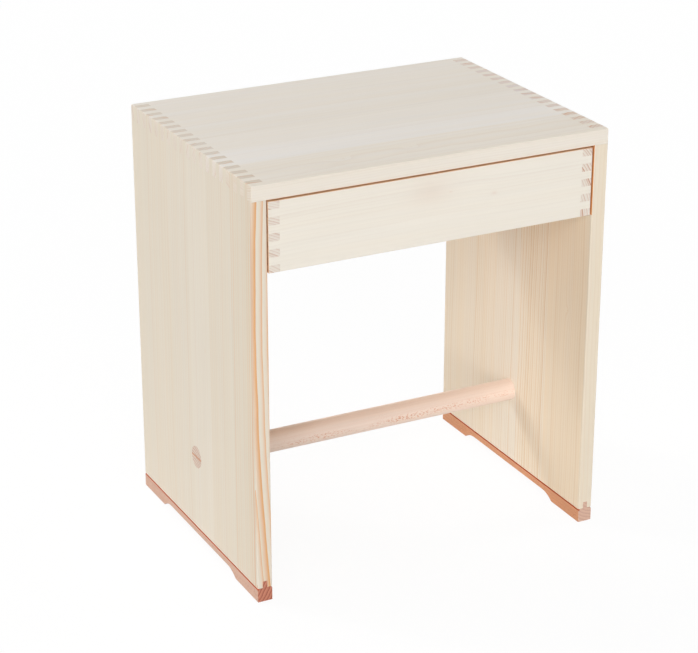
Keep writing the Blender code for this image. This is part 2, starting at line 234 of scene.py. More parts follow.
def finger_board_tree():
    """A board lying flat, with a comb of square fingers sawn in one end or in both."""
    plan, given = new_tree("finger_board", {
        "Length": "Float", "Width": "Float", "Thickness": "Float", "Finger Length": "Float",
        "Finger Places": "Int", "First Notch": "Int", "Both Ends": "Bool", "Saw Gap": "Float",
        "Wood": "Material",
    }, "Board")
    pitch = given("Width") / given("Finger Places")
    slab_size = plan.vector(given("Length"), given("Width"), given("Thickness"))
    slab = plan.node("GeometryNodeMeshCube", sockets={"Size": slab_size})
    reach = 2 * (given("Finger Length") + given("Saw Gap"))
    notch_size = plan.vector(reach, pitch + given("Saw Gap"), 2 * given("Thickness"))
    notch = plan.node("GeometryNodeMeshCube", sockets={"Size": notch_size})
    first = pitch * (given("First Notch") + 0.5) - given("Width") / 2
    count = (given("Finger Places") + 1) / 2 - given("First Notch")
    near = given("Length") / 2
    combs = []
    for end in (near, 0 - near):
        combs.append(plan.node("GeometryNodeMeshLine", {"mode": "OFFSET"}, {
            "Count": count,
            "Start Location": plan.vector(end, first, 0),
            "Offset": plan.vector(0, 2 * pitch, 0),
        }))
    far_comb = plan.node("GeometryNodeSwitch", {"input_type": "GEOMETRY"}, {
        "Switch": given("Both Ends"), "True": combs[1],
    })
    places = plan.node("GeometryNodeJoinGeometry", sockets={"Geometry": [combs[0], far_comb]})
    notches = plan.node("GeometryNodeInstanceOnPoints", sockets={
        "Points": places, "Instance": notch,
    })
    cutters = plan.node("GeometryNodeRealizeInstances", sockets={"Geometry": notches})
    board = plan.node("GeometryNodeMeshBoolean", {"operation": "DIFFERENCE", "solver": "EXACT"}, {
        "Mesh 1": slab, "Mesh 2": cutters,
    })
    whole = plan.node("GeometryNodeRealizeInstances", sockets={"Geometry": board})
    planed = plan.node("GeometryNodeSetMaterial", sockets={
        "Geometry": whole, "Material": given("Wood"),
    })
    plan.node("NodeGroupOutput", sockets={"Board": planed})
    return plan.tree


def settle(piece):
    """Works out a piece's modifiers and keeps the result as its plain mesh."""
    bpy.context.view_layer.update()
    worked = piece.evaluated_get(bpy.context.evaluated_depsgraph_get())
    mesh = bpy.data.meshes.new_from_object(worked)
    piece.modifiers.clear()
    piece.data = mesh


def grow(name, tree, values, mesh=None):
    """An object made by a Geometry Nodes tree with the given inputs, as a plain mesh."""
    piece = bpy.data.objects.new(name, mesh or bpy.data.meshes.new(name))
    bpy.context.scene.collection.objects.link(piece)
    modifier = piece.modifiers.new("make", "NODES")
    modifier.node_group = tree
    for item in tree.interface.items_tree:
        if item.in_out == "INPUT" and item.name in values:
            modifier[item.identifier] = values[item.name]
    settle(piece)
    finish = piece.data.materials[-1]
    piece.data.materials.clear()
    piece.data.materials.append(finish)
    return piece


def stand(piece, along, across, place):
    """Turns a board made flat so that its length and width lie as named, and carries it to its place."""
    turn = Matrix((along, across, along.cross(across))).transposed().to_4x4()
    piece.data.transform(Matrix.Translation(place) @ turn)


def ease_arrises(piece, corners, radius):
    """Rounds the edges where two faces meet; a face is named by its axis and its place on it."""
    shape = bmesh.new()
    shape.from_mesh(piece.data)

    def lies_on(edge, face):
        axis, place = face
        return all(abs(vert.co[axis] - place) < SAME_PLACE for vert in edge.verts)

    edges = []
    for edge in shape.edges:
        if any(lies_on(edge, one) and lies_on(edge, other) for one, other in corners):
            edges.append(edge)
    bmesh.ops.bevel(
        shape, geom=edges, offset=radius, segments=ARRIS_STEPS, profile=0.5, affect="EDGES"
    )
    shape.to_mesh(piece.data)
    shape.free()


def loose(name, shape):
    """An object that holds what a bmesh has made."""
    mesh = bpy.data.meshes.new(name)
    bmesh.ops.recalc_face_normals(shape, faces=shape.faces)
    shape.to_mesh(mesh)
    shape.free()
    piece = bpy.data.objects.new(name, mesh)
    bpy.context.scene.collection.objects.link(piece)
    return piece


def block(low, high):
    """A square block between two corners."""
    low, high = Vector(low), Vector(high)
    shape = bmesh.new()
    bmesh.ops.create_cube(shape, size=1)
    bmesh.ops.scale(shape, vec=high - low, verts=shape.verts)
    bmesh.ops.translate(shape, vec=(low + high) / 2, verts=shape.verts)
    return loose("block", shape)


def rod(centre, radius, length):
    """A round rod along X."""
    shape = bmesh.new()
    bmesh.ops.create_cone(
        shape, cap_ends=True, segments=ROD_SIDES, radius1=radius, radius2=radius, depth=length
    )
    turn = Matrix.Rotation(math.radians(90), 4, "Y")
    bmesh.ops.transform(shape, matrix=Matrix.Translation(centre) @ turn, verts=shape.verts)
    return loose("rod", shape)


def combine(piece, operation, *tools):
    """Cuts tools away from a piece, or keeps what lies in them, and throws the tools away."""
    for tool in tools:
        step = piece.modifiers.new("cut", "BOOLEAN")
        step.operation = operation
        step.solver = "EXACT"
        step.object = tool
    settle(piece)
    for tool in tools:
        bpy.data.objects.remove(tool, do_unlink=True)


def sand(piece, grain):
    """Marks the faces sawn across the grain, and shades flat faces flat and round ones round."""
    marks = piece.data.attributes.new("end_grain", "FLOAT", "FACE")
    for face, mark in zip(piece.data.polygons, marks.data):
        slant = abs(face.normal.dot(grain))
        mark.value = min(1, max(0, (slant - SIDE_GRAIN) / (END_GRAIN - SIDE_GRAIN)))
    piece.data.shade_smooth()
    piece.data.set_sharp_from_angle(angle=CREASE)
    flatten = piece.modifiers.new("flatten", "WEIGHTED_NORMAL")
    flatten.keep_sharp = True
    settle(piece)


def new_material(name):
    """A material with no nodes in it yet, and the wire that fills its tree."""
    material = bpy.data.materials.new(name)
    material.use_nodes = True
    material.node_tree.nodes.clear()
    return material, Wire(material.node_tree)


def parts_of(paint, place, axes):
    """The distances of a place along the axes named."""
    return [
        paint.node("ShaderNodeSeparateXYZ", sockets={"Vector": place}, output=axis) for axis in axes
    ]


def stretched(paint, place, layout, waves):
    """The place, scaled to the waves in a metre along each axis of the layout."""
    spread = dict(zip(layout, waves))
    return paint.node("ShaderNodeVectorMath", {"operation": "MULTIPLY"}, {
        0: place, 1: tuple(spread[axis] for axis in "XYZ"),
    })


def wood_noise(paint, place, layout, waves, detail=2, distortion=0):
    """Noise round 0.5, with the waves in a metre along each axis of the layout."""
    return paint.node("ShaderNodeTexNoise", sockets={
        "Vector": stretched(paint, place, layout, waves),
        "Scale": 1, "Detail": detail, "Distortion": distortion,
    })


def matt_finish(paint, colour, roughness, relief, strength, depth, shine):
    """Closes a wood's material with a matt skin that follows a fine relief."""
    raised = paint.node("ShaderNodeBump", sockets={
        "Strength": strength, "Distance": depth, "Height": relief,
    })
    skin = paint.node("ShaderNodeBsdfPrincipled", sockets={
        "Base Color": colour, "Roughness": roughness, "Normal": raised, "Specular IOR Level": shine,
    })
    paint.node("ShaderNodeOutputMaterial", sockets={"Surface": skin})


def drawer_gap_shade(paint, place):
    """Where the gap's painted shade goes: 1 at the mouth of the narrow gap round the drawer's front,
    fading to 0 further in.
    """
    x, y, z = parts_of(paint, place, "XYZ")
    aside = paint.math("ABSOLUTE", x)
    beside = (aside > front_high.x - GAP_MARGIN) * (z > front_low.z)
    above = z > front_high.z - GAP_MARGIN
    under_seat = 1 - (z > seat_underside + GAP_MARGIN)
    between_panels = 1 - (aside > panel_inner + GAP_MARGIN)
    near_front = paint.clamp(1 - (y - front_low.y) / GAP_REACH)
    return paint.math("MAXIMUM", beside, above) * under_seat * between_panels * near_front


def spruce(
    name, layout, staves, pale, warm, summer, end_tint, end_figure, gap_shade_tint, end_summer=None,
    lean=(0, 0), knots=(),
):
    """Spruce as solid wood: growth rings round the heart of each stave, cut by whatever face shows.

    The layout names the axes along the grain, across the staves and through the board. The spring
    growth lies between pale and warm, by the stave's warmth, and summer is the dark growth. Where
    the wood is sawn across, end_figure says how strongly the summer growth shows, end_tint is laid
    over all, and end_summer, if given, takes the place of summer. The gap shade tint is painted
    shade, laid over the faces in the narrow gap round the drawer. Lean is how far the heart moves
    across and through the board for each metre along it.
    """
    material, paint = new_material(name)
    place = paint.node("ShaderNodeTexCoord", output="Object")
    along, across, deep = parts_of(paint, place, layout)
    noise = partial(wood_noise, paint, place, layout)
    past_seam = [across > stave.edge for stave in staves[:-1]]

    def of_stave(field):
        values = [getattr(stave, field) for stave in staves]
        total = values[0]
        for past, before, after in zip(past_seam, values, values[1:]):
            if after != before:
                total = past * (after - before) + total
        return total

    def chance(number):
        return paint.node("ShaderNodeTexWhiteNoise", {"noise_dimensions": "1D"}, {"W": number})

    # The trunk wanders a little along its length, and its surface ripples
    wander = noise(SPRUCE_WANDER, detail=1) - 0.5
    ripple = noise(SPRUCE_RIPPLE) - 0.5
    from_heart = across - of_stave("heart_across") + wander * WANDER + along * lean[0]
    from_depth = deep - of_stave("heart_deep") + ripple * RIPPLE + along * lean[1]
    if any(stave.bend for stave in staves):
        from_crest = along - BEND_CREST
        from_depth = from_depth - from_crest * from_crest * of_stave("bend")
    radius = (from_heart * from_heart + from_depth * from_depth) ** 0.5
    uneven = paint.node("ShaderNodeTexNoise", {"noise_dimensions": "1D"}, {
        "W": radius, "Scale": GROWTH_WAVES, "Detail": 1,
    })
    rings = (radius + uneven * GROWTH_REACH) / of_stave("ring")
    knot_cores = []
    for knot in knots:
        step_along = (along - knot.along) * KNOT_STRETCH
        step_across = across - knot.across
        far = (step_along * step_along + step_across * step_across) / knot.radius ** 2
        rings = rings + KNOT_SWERVE * knot.dark / (1 + far * KNOT_FADE)
        knot_cores.append((1 / (1 + far)) ** 2 * knot.dark)

    # The summer growth is broad and dark in a good year, and good years come in runs
    end = paint.node("ShaderNodeAttribute", {"attribute_name": "end_grain"}, output="Fac")
    year = paint.math("FRACT", rings)
    which_year = paint.math("FLOOR", rings)
    vigour = chance(which_year)
    run = chance(paint.math("FLOOR", which_year / YEARS_IN_RUN) + 0.5)
    run = paint.math("MAXIMUM", run * run * (1 - FAINTEST_RUN) + FAINTEST_RUN, end * FAINTEST_END)
    steepness = POOR_YEAR - vigour * (POOR_YEAR - GOOD_YEAR)
    late = year ** steepness * (FAINTEST_YEAR + vigour * (1 - FAINTEST_YEAR)) * run

    figure = of_stave("figure")
    summer_share = late * (figure + end * (end_figure - figure))
    for core in knot_cores:
        summer_share = paint.math("MAXIMUM", summer_share, core)
    fibre = noise(SPRUCE_FIBRE, detail=3)
    cloud = noise(SPRUCE_CLOUD)
    streak = noise(SPRUCE_STREAK)
    tone = of_stave("tone") + (fibre - 0.5) * FIBRE_TONE + (cloud - 0.5) * CLOUD_TONE - late * SUMMER_TONE
    spring = paint.mix(of_stave("warmth") + (streak - 0.5) * STREAK_WARMTH, pale, warm)
    if end_summer:
        summer = paint.mix(end, summer, end_summer)
    colour = paint.mix(summer_share, spring, summer).scaled(tone)
    colour = paint.mix(end, colour, end_tint, blend="MULTIPLY")
    # painted shade: a warm brown over the faces in the narrow gap round the drawer
    colour = paint.mix(drawer_gap_shade(paint, place), colour, gap_shade_tint, blend="MULTIPLY")
    roughness = SPRUCE_ROUGHNESS + (fibre - 0.5) * FIBRE_ROUGHNESS - summer_share * SUMMER_ROUGHNESS
    relief = fibre * FIBRE_RELIEF + summer_share * SUMMER_RELIEF
    matt_finish(paint, colour, roughness, relief, strength=0.25, depth=0.0003, shine=0.3)
    return material


finger_board = finger_board_tree()
bar_low, bar_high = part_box("crossbar")
bar_centre = (bar_low + bar_high) / 2
bar_radius = (bar_high.z - bar_low.z) / 2
front_low, front_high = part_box("drawer_front")
seat_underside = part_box("seat_board")[0].z
panel_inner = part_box("right_side_panel")[0].x
for side, outwards, panel_staves in (("left", -1, LEFT_PANEL_STAVES), ("right", 1, RIGHT_PANEL_STAVES)):
    low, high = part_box(f"{side}_side_panel")
    size = high - low
    outer, inner = (low.x, high.x) if outwards < 0 else (high.x, low.x)
    panel_spruce = spruce(
        f"{side}_panel_spruce", "ZYX", panel_staves,
        end_figure=PANEL_END_FIGURES[side], gap_shade_tint=tint(*GAP_SHADE_TINT),
        lean=PANEL_LEANS[side], knots=PANEL_KNOTS[side],
        **{part: tint(*colour) for part, colour in PANEL_TINTS[side].items()},
    )
    panel = grow(f"{side}_panel", finger_board, {
        "Length": size.z, "Width": size.y, "Thickness": size.x, "Finger Length": size.x,
        "Finger Places": SEAT_FINGERS, "First Notch": 0, "Both Ends": False,
        "Saw Gap": SAW_GAP, "Wood": panel_spruce,
    })
    stand(panel, UP, BACKWARDS, (low + high) / 2)
    fronts_and_backs = [((0, face), (1, edge)) for face in (outer, inner) for edge in (low.y, high.y)]
    ease_arrises(panel, fronts_and_backs + [((0, outer), (2, high.z))], SANDED_ARRIS)
    middle = (low.x + high.x) / 2
    hole = rod((middle, bar_centre.y, bar_centre.z), bar_radius + BAR_PLAY, 3 * size.x)
    groove = block(
        (middle - TONGUE_WIDTH / 2 - SAW_GAP, low.y - OVERRUN, low.z - OVERRUN),
        (middle + TONGUE_WIDTH / 2 + SAW_GAP, high.y + OVERRUN, TONGUE_TOP + SAW_GAP),
    )
    combine(panel, "DIFFERENCE", hole, groove)
    sand(panel, UP)
    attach(panel, "carcass")
    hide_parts(f"{side}_side_panel")

# Seat
# One solid spruce board glued up from five staves, grain running from side to side.
# Both ends are sawn into fingers that pass between the panels' fingers and end flush.
SEAT_STAVES = (
    Stave(-0.086, -0.1200, 0.5100, 0.0024, 0.15, 1.005, 0.60),
    Stave(-0.040, 0.0200, 0.4700, 0.0021, 0.16, 1.015, 0.20),
    Stave(0.004, -0.1000, 0.3800, 0.0022, 0.15, 1.00, 0.40),
    Stave(0.076, 0.1200, 0.4600, 0.0019, 0.15, 0.985, 0.50),
    Stave(1.0, 0.0200, 0.4700, 0.0021, 0.15, 0.985, 0.45),
)
SEAT_KNOTS = (Knot(-0.084, -0.114, 0.0008, 0.40), Knot(-0.008, -0.111, 0.0007, 0.35))
low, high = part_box("seat_board")
size = high - low
seat_spruce = spruce(
    "seat_spruce", "XYZ", SEAT_STAVES, pale=tint(240, 235, 229), warm=tint(240, 229, 211),
    summer=tint(212, 168, 122), end_tint=tint(249, 245, 241), end_figure=0.6,
    gap_shade_tint=tint(*GAP_SHADE_TINT), lean=(-0.02, 0), knots=SEAT_KNOTS,
)
seat = grow("seat", finger_board, {
    "Length": size.x, "Width": size.y, "Thickness": size.z, "Finger Length": size.z,
    "Finger Places": SEAT_FINGERS, "First Notch": 1, "Both Ends": True,
    "Saw Gap": SAW_GAP, "Wood": seat_spruce,
})
stand(seat, RIGHTWARDS, BACKWARDS, (low + high) / 2)
front_and_back = [(1, low.y), (1, high.y)]
ends = [(0, low.x), (0, high.x)]
top_edges = [(face, (2, high.z)) for face in front_and_back + ends]
corner_edges = [(end, face) for end in ends for face in front_and_back]
ease_arrises(seat, top_edges + corner_edges, SANDED_ARRIS)
ease_arrises(seat, [(face, (2, low.z)) for face in front_and_back], SHARP_ARRIS)
sand(seat, RIGHTWARDS)
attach(seat, "carcass")
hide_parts("seat_board")

# Foot rails
# Two strips of steamed beech under the panels. A tongue on top is glued into the panel, a fine
# shadow groove runs along the joint, and a cut-out below leaves a foot at each end.
RAIL_HEIGHT = 0.015
SHADOW_GROOVE_DEPTH = 0.0015
SHADOW_GROOVE_LOW = 0.0135
SHADOW_GROOVE_SLOPE = 0.0006
FOOT_LENGTH = 0.054
CUTOUT_HEIGHT = 0.007
CUTOUT_RADIUS = 0.032
CUTOUT_ARC_STEPS = 14
Beech = namedtuple("Beech", "body shade fleck end_body end_shade")
RAIL_BEECH = {
    "left": Beech((215, 176, 154), (194, 136, 108), (180, 112, 80), (205, 137, 112), (148, 68, 48)),
    "right": Beech((219, 158, 118), (196, 122, 82), (182, 108, 70), (223, 186, 165), (203, 160, 141)),
}
RAIL_HEARTS = {"left": (0.044, -0.060), "right": (0.058, 0.022)}
RAIL_RING = 0.0036
# painted shade along the shadow groove at the top of each rail
GROOVE_SHADE_TINTS = {"left": (206, 96, 56), "right": (196, 88, 42)}
RING_DRIFT = 0.004          # how far a ring strays from its circle
RAY_SIZE = 0.45             # how far a ray reaches towards the next one
RAY_EDGE = 5                # how sharply it ends
FLECKS = 0.5                # how strongly the rays show
MOST_FLECK = 0.9            # and the most that any of them does
OFF_BAND = 0.06             # share of the flecks left outside a band of them
SIDE_RINGS = 0.28           # how strongly the rings show along the grain, beside its end
SIDE_CLOUD = 0.5            # how much the clouds change the shade along the grain
END_CLOUD = 0.2             # and in its end
BEECH_FIBRE_TONE = 0.12
BEECH_ROUGHNESS = 0.52
BEECH_FIBRE_ROUGHNESS = 0.2
RAY_HOLLOW = 0.5            # how deep the rays lie in the relief

# Waves in a metre along the grain, across it and through the strip
BEECH_WANDER = (7, 60, 60)
BEECH_RAYS = (330, 900, 900)
BEECH_PATCHES = (24, 120, 120)
BEECH_FIBRE = (14, 650, 650)
BEECH_CLOUD = (5, 40, 40)


def prism(outline, axis, start, end):
    """A closed outline carried along X or Y; its points hold the other two places in order."""
    shape = bmesh.new()

    def at(place, point):
        return (place, *point) if axis == "X" else (point[0], place, point[1])

    near = shape.faces.new([shape.verts.new(at(start, point)) for point in outline])
    far = bmesh.ops.extrude_face_region(shape, geom=[near])
    moved = [part for part in far["geom"] if isinstance(part, bmesh.types.BMVert)]
    travel = (end - start, 0, 0) if axis == "X" else (0, end - start, 0)
    bmesh.ops.translate(shape, vec=travel, verts=moved)
    return loose("prism", shape)


def beech(name, layout, tints, heart, ring, flecks=FLECKS, fleck_band=None, groove=None):
    """Beech: an even pinkish body with soft rings, and short flecks where the rays are cut.

    The layout is as for spruce, and the heart is its place across and through the strip. A fleck
    band is the place across, its drift along and its half width, where the rays are cut open. A
    groove is the height above which painted shade darkens the wood in the shadow groove, and its
    colour there.
    """
    material, paint = new_material(name)
    place = paint.node("ShaderNodeTexCoord", output="Object")
    along, across, deep = parts_of(paint, place, layout)
    noise = partial(wood_noise, paint, place, layout)
    wander = noise(BEECH_WANDER) - 0.5
    from_across = across - heart[0]
    from_deep = deep - heart[1]
    radius = (from_across * from_across + from_deep * from_deep) ** 0.5 + wander * RING_DRIFT
    year = paint.math("FRACT", radius / ring)
    late = year * year
    end = paint.node("ShaderNodeAttribute", {"attribute_name": "end_grain"}, output="Fac")
    cells = paint.node("ShaderNodeTexVoronoi", {"feature": "F1"}, {
        "Vector": stretched(paint, place, layout, BEECH_RAYS), "Scale": 1, "Randomness": 1,
    }, output="Distance")
    rays = paint.math("MAXIMUM", (RAY_SIZE - cells) * RAY_EDGE, 0)
    patches = paint.math("MAXIMUM", noise(BEECH_PATCHES) * 3 - 1, 0)
    ray_share = rays * patches * flecks
    if fleck_band:
        middle, drift, half = fleck_band
        off_band = paint.math("ABSOLUTE", across - middle - along * drift)
        ray_share = ray_share * paint.math("MAXIMUM", 1 - off_band / half, OFF_BAND)
    ray_share = paint.math("MINIMUM", ray_share, MOST_FLECK) * (1 - end)
    fibre = noise(BEECH_FIBRE, detail=3)
    clouds = (noise(BEECH_CLOUD) - 0.5) * (SIDE_CLOUD - end * (SIDE_CLOUD - END_CLOUD))
    share = late * (SIDE_RINGS + end * (1 - SIDE_RINGS)) + clouds
    body = paint.mix(end, tint(*tints.body), tint(*tints.end_body))
    shade = paint.mix(end, tint(*tints.shade), tint(*tints.end_shade))
    colour = paint.mix(ray_share, paint.mix(share, body, shade), tint(*tints.fleck))
    # painted shade darkens the shadow groove along the rail's top
    if groove:
        height, groove_shade_tint = groove
        colour = paint.mix((across > height) * (1 - end), colour, tint(*groove_shade_tint))
    colour = colour.scaled(1 + (fibre - 0.5) * BEECH_FIBRE_TONE)
    roughness = BEECH_ROUGHNESS + (fibre - 0.5) * BEECH_FIBRE_ROUGHNESS
    relief = fibre - ray_share * RAY_HOLLOW
    matt_finish(paint, colour, roughness, relief, strength=0.2, depth=0.0003, shine=0.35)
    return material


def cutout_outline(half_length):
    """The cut-out seen from the side: flat on top, with an arc down to the floor at each foot."""
    half = half_length - FOOT_LENGTH
    sweep = math.acos(1 - CUTOUT_HEIGHT / CUTOUT_RADIUS)
    start = half - CUTOUT_RADIUS * math.sin(sweep)
    arc = []
    for step in range(CUTOUT_ARC_STEPS + 1):
        angle = sweep * step / CUTOUT_ARC_STEPS
        height = CUTOUT_HEIGHT - CUTOUT_RADIUS * (1 - math.cos(angle))
        arc.append((start + CUTOUT_RADIUS * math.sin(angle), height))
    arc.append((half, -OVERRUN))
    return arc[::-1] + [(-along, height) for along, height in arc]


for side in ("left", "right"):
    low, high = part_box(f"{side}_foot_rail")
    middle = (low.x + high.x) / 2
    half = (high.x - low.x) / 2
    right_half = [
        (half, 0),
        (half, SHADOW_GROOVE_LOW),
        (half - SHADOW_GROOVE_DEPTH, SHADOW_GROOVE_LOW + SHADOW_GROOVE_SLOPE),
        (half - SHADOW_GROOVE_DEPTH, RAIL_HEIGHT),
        (TONGUE_WIDTH / 2, RAIL_HEIGHT),
        (TONGUE_WIDTH / 2, TONGUE_TOP),
    ]
    section = right_half + [(-across, height) for across, height in right_half[::-1]]
    section = [(middle + across, height) for across, height in section]
    rail = prism(section, "Y", low.y, high.y)
    rail.name = f"{side}_rail"
    cutout = prism(cutout_outline(high.y), "X", low.x - OVERRUN, high.x + OVERRUN)
    combine(rail, "DIFFERENCE", cutout)
    faces = [(0, low.x), (0, high.x)]
    rail_ends = [(1, low.y), (1, high.y)]
    ease_arrises(rail, [(face, end) for face in faces for end in rail_ends], SHARP_ARRIS)
    ease_arrises(rail, [(face, (2, 0)) for face in faces + rail_ends], SHARP_ARRIS)
    heart_height, heart_offset = RAIL_HEARTS[side]
    rail.data.materials.append(beech(
        f"{side}_rail_beech", "YZX", RAIL_BEECH[side], heart=(heart_height, middle + heart_offset),
        ring=RAIL_RING, groove=(SHADOW_GROOVE_LOW - SAME_PLACE, GROOVE_SHADE_TINTS[side]),
    ))
    sand(rail, BACKWARDS)
    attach(rail, "carcass")
    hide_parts(f"{side}_foot_rail")

# Crossbar and its wedges
# A turned beech bar that passes through both panels and ends flush with them. Each end is
# sawn through once, and a thin wedge driven into the kerf spreads it in its hole.
WEDGE_LENGTH = 0.013
WEDGE_HEAD = 0.0024
WEDGE_TIP = 0.0008
KERF_PLAY = 0.00003
KERF_OVERRUN = 0.004
BAR_HEART = (-0.040, 0.012)     # height and depth, both from the bar's middle
BAR_RING = 0.0034
BAR_FLECKS = 1.2
BAR_FLECK_BAND = (-0.0015, 0.008, 0.006)    # the first is a height from the bar's middle
WEDGE_HEART = (-0.03, 0.01)     # height from the bar's middle, and depth
WEDGE_RING = 0.0021
BAR_BEECH = Beech((247, 227, 214), (231, 200, 181), (220, 152, 112), (230, 212, 196), (186, 140, 116))
WEDGE_BEECH = Beech((222, 180, 152), (196, 140, 110), (180, 118, 88), (220, 166, 134), (190, 128, 96))
bar = rod(bar_centre, bar_radius, bar_high.x - bar_low.x)
bar.name = "bar"
bar.data.materials.append(beech(
    "bar_beech", "XZY", BAR_BEECH, heart=(bar_centre.z + BAR_HEART[0], bar_centre.y + BAR_HEART[1]),
    ring=BAR_RING, flecks=BAR_FLECKS,
    fleck_band=(bar_centre.z + BAR_FLECK_BAND[0], *BAR_FLECK_BAND[1:]),
))


def wedge_outline(end, inwards, play, overrun):
    """The wedge seen from the front, thick at the bar's end and thin inside it."""
    outer = end - inwards * overrun
    inner = end + inwards * (WEDGE_LENGTH + play)
    head = WEDGE_HEAD / 2 + play
    tip = WEDGE_TIP / 2 + play
    points = [(outer, -head), (outer, head), (inner, tip), (inner, -tip)]
    return [(along, bar_centre.z + height) for along, height in points]


kerfs = []
reach = (bar_low.y - OVERRUN, bar_high.y + OVERRUN)
for side, end, inwards in (("left", bar_low.x, 1), ("right", bar_high.x, -1)):
    kerfs.append(prism(wedge_outline(end, inwards, KERF_PLAY, KERF_OVERRUN), "Y", *reach))
    wedge = prism(wedge_outline(end, inwards, 0, 0), "Y", *reach)
    wedge.name = f"{side}_wedge"
    combine(wedge, "INTERSECT", rod(bar_centre, bar_radius, 2 * (bar_high.x - bar_low.x)))
    wedge.data.materials.append(beech(
        f"{side}_wedge_beech", "XZY", WEDGE_BEECH,
        heart=(bar_centre.z + WEDGE_HEART[0], WEDGE_HEART[1]), ring=WEDGE_RING,
    ))
    sand(wedge, RIGHTWARDS)
    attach(wedge, "carcass")
    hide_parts(f"{side}_tenon_wedge")
combine(bar, "DIFFERENCE", *kerfs)
sand(bar, RIGHTWARDS)
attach(bar, "carcass")
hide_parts("crossbar")

# Drawer runners and their screws
# A beech strip inside each panel that the drawer's groove rides on. Three countersunk steel
# screws with a bright zinc finish hold it, their heads sunk just below its face.
SCREWS_PER_RUNNER = 3
SCREW_MARGIN = 0.025
SCREW_SINK = 0.0004
SCREW_PLAY = 0.00003
SCREW_SHANK_RADIUS = 0.00175
SCREW_HEAD_RADIUS = 0.0035
SCREW_LENGTH = 0.016
SCREW_TIP = 0.004
SCREW_SIDES = 40
HEAD_OVERRUN = 0.003
RECESS_LENGTH = 0.0036
RECESS_WIDTH = 0.0009
RECESS_DEPTH = 0.0012
RUNNER_ARRIS = 0.0006
RUNNER_HEART = (0.36, 0.24)     # height, and distance to the side
RUNNER_RING = 0.0026
ZINC_DULL = (196, 198, 200)
ZINC_BRIGHT = (226, 226, 222)
ZINC_CLOUDS = 900               # in a metre
RUNNER_BEECH = Beech((232, 198, 172), (212, 166, 134), (188, 124, 88), (224, 190, 172), (188, 140, 116))


def zinc(name):
    """Bright zinc plating, a little cloudy and uneven in its shine."""
    material, paint = new_material(name)
    place = paint.node("ShaderNodeTexCoord", output="Object")
    haze = paint.node("ShaderNodeTexNoise", sockets={
        "Vector": place, "Scale": ZINC_CLOUDS, "Detail": 3,
    })
    skin = paint.node("ShaderNodeBsdfPrincipled", sockets={
        "Base Color": paint.mix(haze, tint(*ZINC_DULL), tint(*ZINC_BRIGHT)),
        "Roughness": 0.22 + haze * 0.2,
        "Metallic": 1,
    })
    paint.node("ShaderNodeOutputMaterial", sockets={"Surface": skin})
    return material


def turned(profile):
    """A profile of (radius, height) points, spun about Z into a closed shape."""
    shape = bmesh.new()
    verts = [shape.verts.new((radius, 0, height)) for radius, height in profile]
    edges = [shape.edges.new(pair) for pair in zip(verts, verts[1:])]
    bmesh.ops.spin(
        shape, geom=verts + edges, axis=UP, cent=(0, 0, 0), steps=SCREW_SIDES, angle=math.radians(360)
    )
    bmesh.ops.remove_doubles(shape, verts=shape.verts, dist=SAME_PLACE / 10)
    return loose("turned", shape)


def screw_profile(play=0, overrun=0):
    """A countersunk screw from the middle of its head to its tip; overrun carries the head on upwards."""
    head = [(0, overrun), (SCREW_HEAD_RADIUS + play, overrun)]
    if overrun:
        head.append((SCREW_HEAD_RADIUS + play, 0))
    return head + [
        (SCREW_SHANK_RADIUS + play, SCREW_SHANK_RADIUS - SCREW_HEAD_RADIUS),
        (SCREW_SHANK_RADIUS + play, SCREW_TIP - SCREW_LENGTH),
        (0, -SCREW_LENGTH - play),
    ]


def screw_row_tree():
    """The screws of one runner: the given screw set along it at even steps."""
    plan, given = new_tree("screw_row", {
        "Screw": "Geometry", "Count": "Int", "First": "Vector", "Step": "Vector", "Plating": "Material",
    }, "Screws")
    places = plan.node("GeometryNodeMeshLine", {"mode": "OFFSET"}, {
        "Count": given("Count"), "Start Location": given("First"), "Offset": given("Step"),
    })
    row = plan.node("GeometryNodeInstanceOnPoints", sockets={
        "Points": places, "Instance": given("Screw"),
    })
    whole = plan.node("GeometryNodeRealizeInstances", sockets={"Geometry": row})
    plated = plan.node("GeometryNodeSetMaterial", sockets={
        "Geometry": whole, "Material": given("Plating"),
    })
    plan.node("NodeGroupOutput", sockets={"Screws": plated})
    return plan.tree


